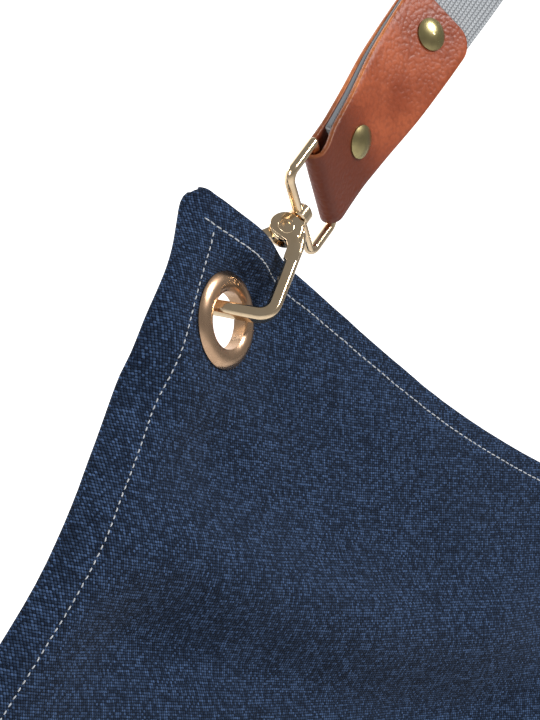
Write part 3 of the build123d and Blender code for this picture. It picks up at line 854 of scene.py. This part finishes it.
def hook_plate():
    """The head's front plate: round about the gate's rivet, running down into the spine, its rim bevelled."""
    outline = []
    for angle in spread(-15, 215, 30):
        t = math.radians(angle)
        outline.append(PIVOT + Vector((math.cos(t), math.sin(t))) * PLATE_R)
    outline += [Vector(p) for p in PLATE_LOWER_EDGE]
    middle = sum(outline, Vector((0, 0))) / len(outline)
    rings = []
    for out, inset in PLATE_RIM:
        ring = []
        for q in outline:
            sunk = PLATE_SINK * smooth(9.8, 15.0, -q.y)
            ring.append(in_hook(*(q + (middle - q).normalized() * inset), max(PLATE_LOWEST, out - sunk)))
        rings.append(ring)
    return skin(rings, True, True)


def hook_pieces(side):
    """Bevelled shells just outside the CAD's hook, which stays in place under them."""
    for name, (points, faces) in (("hook_spine_and_bow", hook_bar()), ("hook_head_plate", hook_plate())):
        if side == "right":
            points, faces = mirror_points(points), mirror_faces(faces)
        piece = make(f"{name}_{side}", points, faces, [GOLD], f"hook_{side}")
        bevel = piece.modifiers.new("soft facets", "BEVEL")
        bevel.width = 0.22 * MM
        bevel.segments = 2
        bevel.limit_method = "ANGLE"
        bevel.angle_limit = math.radians(28)


# ================================================================ build it


panel = apron_panel()
side_hems = [
    hem("side_fold_left", "side_hem_left", 8.8, SideLine(-1)),
    hem("side_fold_right", "side_hem_right", 8.8, SideLine(1)),
]
neck_hem = hem("neckline_fold", "neckline_hem", 7.8, NeckLine())
bottom_hem = hem("bottom_fold", "bottom_hem", 20.0, BottomLine())
pocket = front_pocket()
side_runs = []
for side in (-1, 1):
    side_runs += stitch_run(SideLine(side), SIDE_STITCH, STITCH_PITCH, 1.35, start=3)
side_thread = thread_piece("side_stitching", side_runs)
neck_runs = stitch_run(NeckLine(), NECK_STITCH, STITCH_PITCH, 1.8, END_PLACES, -END_PLACES)
neck_thread = thread_piece("neckline_stitching", neck_runs)
bottom_runs = stitch_run(
    BottomLine(), BOTTOM_STITCH, PLAIN_STITCH_PITCH, PLAIN_STITCH_LENGTH, END_PLACES, -END_PLACES
)
bottom_thread = thread_piece("bottom_stitching", bottom_runs)
pocket_runs = []
for seam in POCKET_SEAMS:
    pocket_runs += stitch_run(seam, 3.0, PLAIN_STITCH_PITCH, PLAIN_STITCH_LENGTH)
pocket_thread = thread_piece("pocket_stitching", pocket_runs)

webbing, webbing_length = neck_webbing()
for side_name in ("left", "right"):
    leather_tab(side_name)
for side_name in ("left", "right"):
    hook_pieces(side_name)

NODE_MATERIALS = {
    "hook_body": GOLD,
    "hook_gate": GOLD,
    "gate_rivet": GOLD,
    "swivel_loop": GOLD,
    "swivel_post": GOLD,
    "gate_spring": STEEL,
    "neck_eyelet": ROSE,
    "neck_eyelet_washer": ROSE,
    "waist_eyelet": ROSE,
    "waist_eyelet_washer": ROSE,
    "rivet_cap_lower": BRASS,
    "rivet_cap_upper": BRASS,
    "rivet_stud_lower": BRASS,
    "rivet_stud_upper": BRASS,
}
for node_name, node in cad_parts.items():
    base = node_name.removesuffix("_left").removesuffix("_right")
    if base in NODE_MATERIALS:
        node.data.materials.clear()
        node.data.materials.append(NODE_MATERIALS[base])

# ================================================================ studio


def area_light(name, place, target, size, power):
    data = bpy.data.lights.new(name, "AREA")
    data.shape = "DISK"
    data.size = size
    data.energy = power
    lamp = bpy.data.objects.new(name, data)
    lamp.location = place
    lamp.rotation_mode = "QUATERNION"
    lamp.rotation_quaternion = (Vector(target) - Vector(place)).to_track_quat("-Z", "Y")
    bpy.context.scene.collection.objects.link(lamp)


def plain_sheet(name, corners, shade, glow):
    mesh = bpy.data.meshes.new(name)
    mesh.from_pydata(corners, [], [(0, 1, 2, 3)])
    tree = Tree(name)
    tree.set(Base_Color=(shade, shade, shade, 1), Roughness=0.9)
    tree.set(Emission_Color=(1, 1, 1, 1), Emission_Strength=glow)
    mesh.materials.append(tree.material)
    piece = bpy.data.objects.new(name, mesh)
    bpy.context.scene.collection.objects.link(piece)


eyelet_low, eyelet_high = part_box("neck_eyelet_left")
eyelet_middle = (eyelet_low + eyelet_high) / 2
scene = bpy.context.scene
camera = bpy.data.objects.new("camera", bpy.data.cameras.new("camera"))
scene.collection.objects.link(camera)
scene.camera = camera
camera.data.lens = 85.8
camera.data.sensor_width = 36.0
camera.location = eyelet_middle + Vector((-255.0, -357.2, -10.1)) * MM
VIEW_AZIMUTH = math.radians(37.0)
looking = Vector((math.sin(VIEW_AZIMUTH), math.cos(VIEW_AZIMUTH), 0))
camera.rotation_mode = "QUATERNION"
camera.rotation_quaternion = looking.to_track_quat("-Z", "Y")
camera.data.clip_start = 0.01

floor_z = cad_low.z - 0.25
floor_corners = [(-14, -9, floor_z), (14, -9, floor_z), (14, 9, floor_z), (-14, 9, floor_z)]
plain_sheet("floor", floor_corners, 0.86, 0.0)
backdrop_corners = [(-7, 3.6, floor_z), (10, 3.6, floor_z), (10, 3.6, 5.5), (-7, 3.6, 5.5)]
plain_sheet("backdrop", backdrop_corners, 1.0, 1.0)
area_light("key", (0.9, -1.6, 1.2), (-0.1, 0, -0.2), 0.8, 46)
area_light("fill", (-1.8, -0.9, 0.3), (-0.1, 0, -0.3), 1.0, 13)
area_light("rim", (-0.9, 1.2, 1.0), (-0.15, 0, -0.15), 0.6, 12)
world = bpy.data.worlds.new("studio")
scene.world = world
world.use_nodes = True
world.node_tree.nodes["Background"].inputs[0].default_value = (0.86, 0.88, 0.9, 1)
world.node_tree.nodes["Background"].inputs[1].default_value = 0.3
scene.view_settings.view_transform = "Standard"
